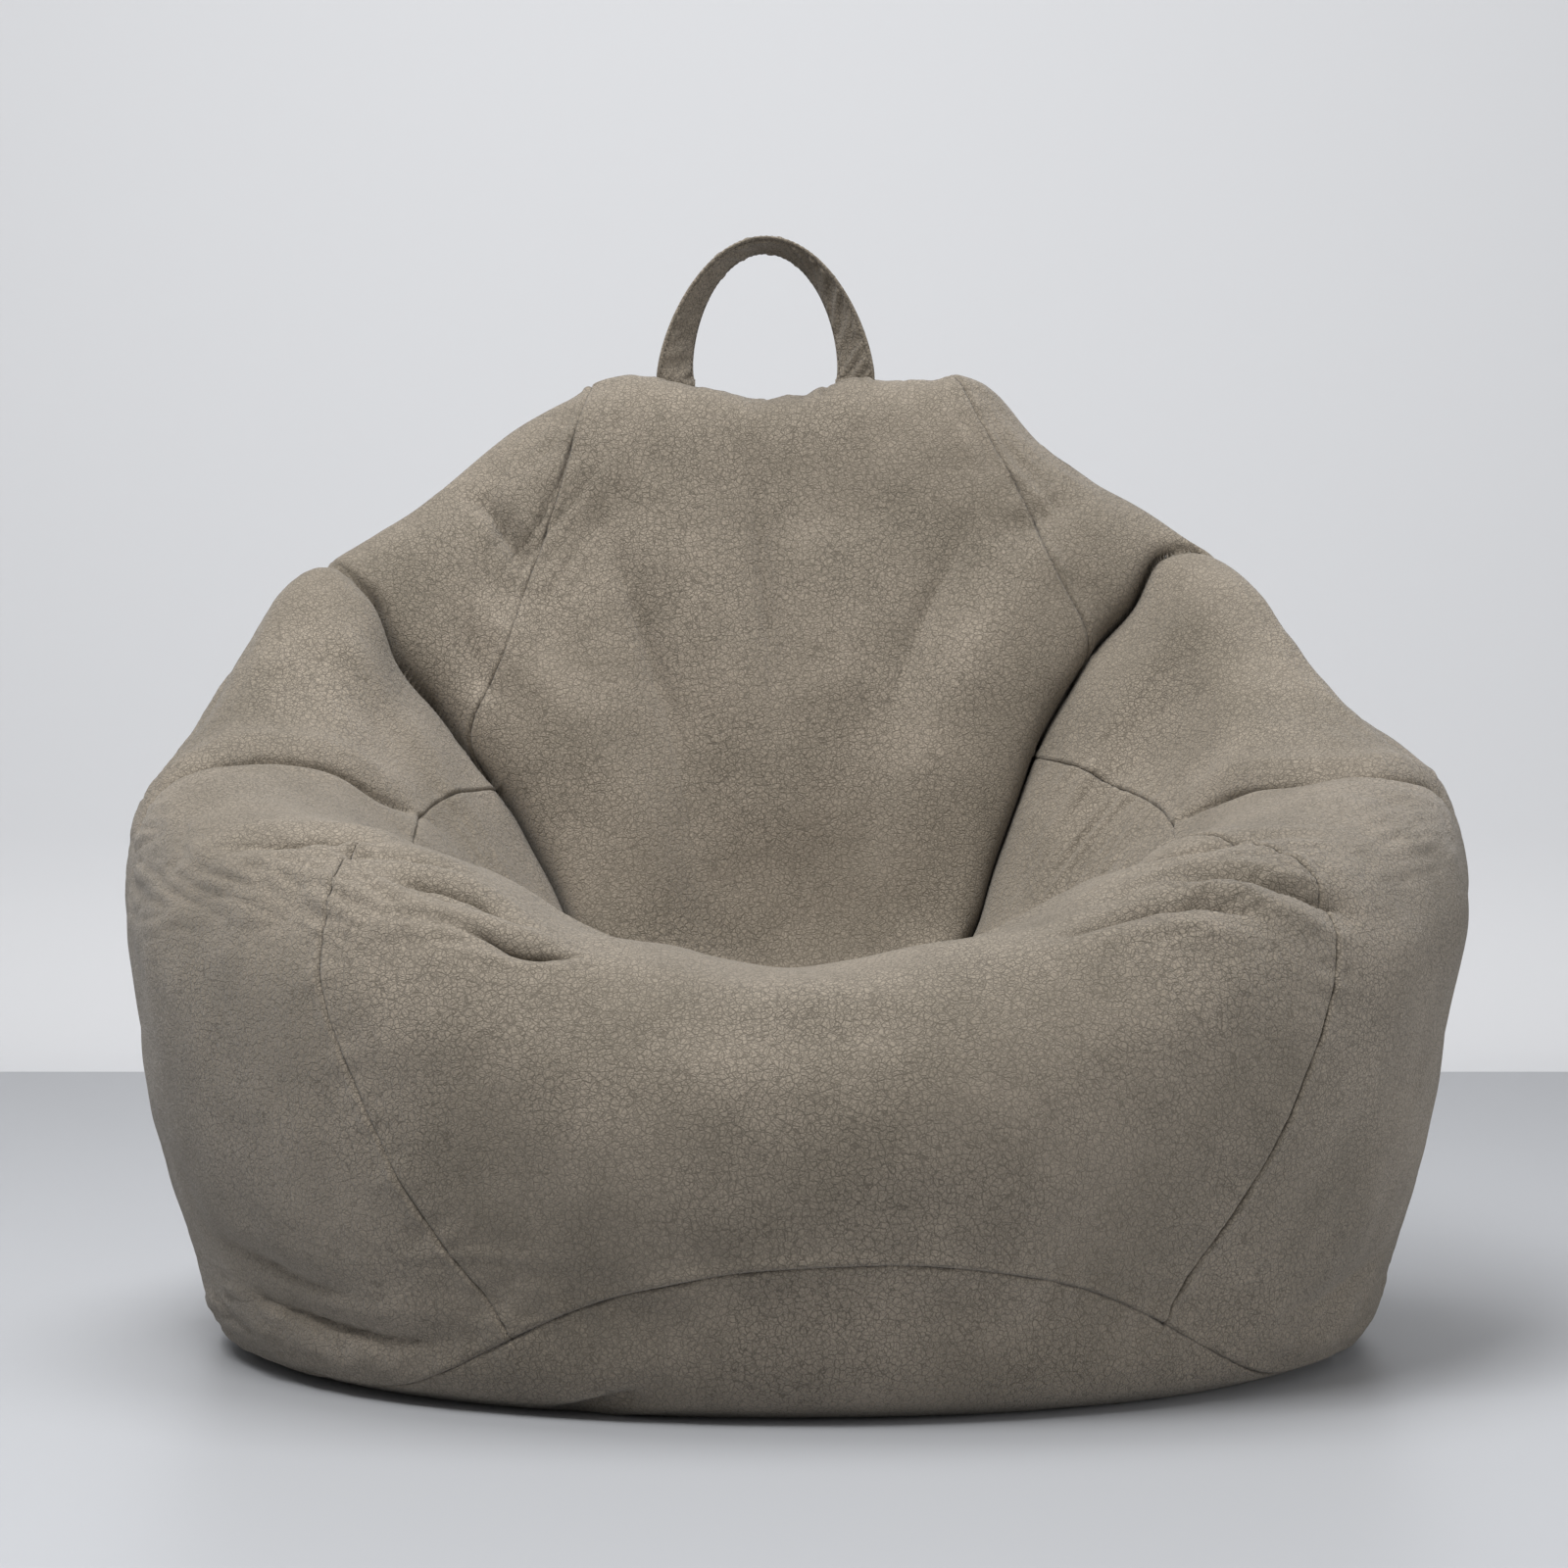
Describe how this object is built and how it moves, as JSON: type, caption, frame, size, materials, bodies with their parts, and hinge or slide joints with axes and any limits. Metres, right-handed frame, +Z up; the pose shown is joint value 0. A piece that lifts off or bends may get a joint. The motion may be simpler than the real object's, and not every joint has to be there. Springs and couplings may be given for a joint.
{
  "type": "bean bag chair",
  "caption": "Free-standing bead-filled lounge seat: sewn suede-look cover with a bucket seat, high rounded back, padded arms, carry handle and rear zip over a zipped inner liner.",
  "frame": {"origin": "middle of the object's length and depth, on the floor under the flat base", "axes": "+Z up, +X to the sitter's left as seen from the front , front opening towards -Y, backrest at +Y"},
  "size_m": [0.974, 0.9158, 0.8339],
  "materials": {
    "suede": "matt taupe suede-look microfibre with a fine pebbled grain",
    "webbing": "woven polypropylene webbing",
    "liner_cloth": "plain woven off-white polyester",
    "eps_beads": "loose expanded polystyrene beads",
    "zip_tape": "woven polyester tape",
    "zip_coil": "nylon coil",
    "zip_metal": "dark nickel"
  },
  "bodies": {
    "bag": {"cover_base_panel": "suede", "cover_front_panel": "suede", "cover_left_side_panel": "suede", "cover_right_side_panel": "suede", "cover_back_seat_panel": "suede", "cover_rear_left_panel": "suede", "cover_rear_right_panel": "suede", "liner_left_shell": "liner_cloth", "liner_right_shell": "liner_cloth", "liner_base_front": "liner_cloth", "liner_base_rear": "liner_cloth", "bead_filling": "eps_beads", "zip_tape_left": "zip_tape", "zip_tape_right": "zip_tape", "liner_zip_tape_front": "zip_tape", "liner_zip_tape_rear": "zip_tape", "zip_coil_left": "zip_coil", "zip_coil_right": "zip_coil", "liner_zip_coil_front": "zip_coil", "liner_zip_coil_rear": "zip_coil", "zip_bottom_stop": "zip_metal", "zip_top_stop_left": "zip_metal", "zip_top_stop_right": "zip_metal", "liner_zip_stop_start": "zip_metal", "liner_zip_stop_end": "zip_metal"},
    "handle": {"handle_sleeve": "suede", "handle_webbing": "webbing"},
    "zip_slider": {"zip_slider": "zip_metal"},
    "zip_pull": {"zip_pull": "zip_metal"},
    "liner_zip_slider": {"liner_zip_slider": "zip_metal"}
  },
  "joints": [
    {"name": "handle_hinge", "type": "hinge", "parent": "bag", "child": "handle", "pos_m": [-0.0223, 0.29218, 0.72213], "axis": [0.9997, 0.0259, 0], "range_deg": [-65, 90]},
    {"name": "zip_slide", "type": "slide", "parent": "bag", "child": "zip_slider", "axis": [0, 0.1636, -0.9865], "range_m": [0, 0.359]},
    {"name": "zip_pull_hinge", "type": "hinge", "parent": "zip_slider", "child": "zip_pull", "pos_m": [0, 0.39915, 0.46656], "axis": [1, 0, 0], "range_deg": [0, 170]},
    {"name": "liner_zip_slide", "type": "slide", "parent": "bag", "child": "liner_zip_slider", "axis": [-1, 0, 0], "range_m": [0, 0.295]}
  ]
}
